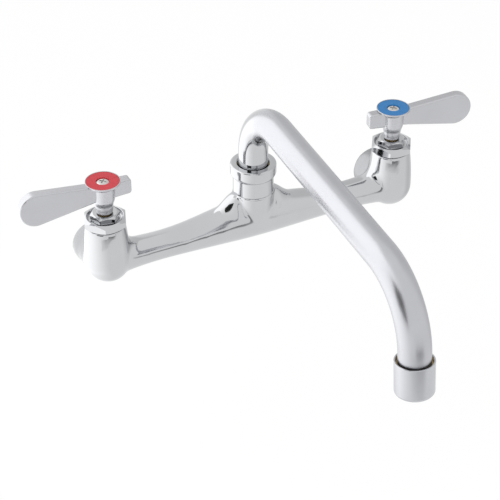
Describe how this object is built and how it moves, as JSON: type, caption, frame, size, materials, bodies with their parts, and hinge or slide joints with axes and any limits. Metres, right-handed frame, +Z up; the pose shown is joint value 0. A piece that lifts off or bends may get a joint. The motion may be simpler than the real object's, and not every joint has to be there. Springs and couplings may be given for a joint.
{
  "type": "commercial wall faucet",
  "caption": "Wall-mounted mixing faucet with lever handles, ceramic disc valves inside, a colour ring on each handle and a long bent spout that swings over the sink.",
  "frame": {"origin": "midway between the two inlets, in the plane of the wall", "axes": "+X along the body to the cold valve, +Y into the wall, +Z up"},
  "size_m": [0.3122, 0.241, 0.11],
  "materials": {
    "bright_chrome": "polished",
    "satin_chrome": "satin",
    "spout_chrome": "semi-polished",
    "brass": "machined",
    "rubber": "matte",
    "ceramic": "lapped",
    "fibre": "matte",
    "packing": "matte",
    "slip_washer": "smooth",
    "moulded_insert": "moulded",
    "screen_steel": "woven",
    "screw_steel": "satin",
    "red_index": "glossy",
    "blue_index": "glossy"
  },
  "bodies": {
    "body": {"faucet_body": "bright_chrome", "hot_seat_seal": "rubber", "hot_fixed_disc": "ceramic", "hot_cartridge_sleeve": "brass", "hot_bonnet_washer": "fibre", "hot_bonnet": "bright_chrome", "hot_stem_packing": "packing", "hot_packing_nut": "bright_chrome", "cold_seat_seal": "rubber", "cold_fixed_disc": "ceramic", "cold_cartridge_sleeve": "brass", "cold_bonnet_washer": "fibre", "cold_bonnet": "bright_chrome", "cold_stem_packing": "packing", "cold_packing_nut": "bright_chrome", "spout_nut": "bright_chrome", "spout_thrust_washer": "slip_washer", "spout_friction_washer": "slip_washer"},
    "spout": {"spout_base": "brass", "spout_base_seals": "rubber", "spout_tube": "spout_chrome", "outlet_bush": "brass", "outlet_washer": "rubber", "outlet_flow_insert": "moulded_insert", "outlet_screen": "screen_steel", "outlet_shell": "spout_chrome"},
    "hot_handle": {"hot_turning_disc": "ceramic", "hot_stem": "brass", "hot_stem_seals": "rubber", "hot_handle": "satin_chrome", "hot_index_ring": "red_index", "hot_handle_screw": "screw_steel"},
    "cold_handle": {"cold_turning_disc": "ceramic", "cold_stem": "brass", "cold_stem_seals": "rubber", "cold_handle": "satin_chrome", "cold_index_ring": "blue_index", "cold_handle_screw": "screw_steel"}
  },
  "joints": [
    {"name": "spout_swivel", "type": "hinge", "parent": "body", "child": "spout", "pos_m": [0, -0.024, 0.03], "axis": [0, 0, 1], "range_deg": [-90, 90]},
    {"name": "hot_handle_turn", "type": "hinge", "parent": "body", "child": "hot_handle", "pos_m": [-0.1016, -0.024, 0.04], "axis": [0, 0, 1], "range_deg": [0, 90]},
    {"name": "cold_handle_turn", "type": "hinge", "parent": "body", "child": "cold_handle", "pos_m": [0.1016, -0.024, 0.04], "axis": [0, 0, 1], "range_deg": [-90, 0]}
  ]
}
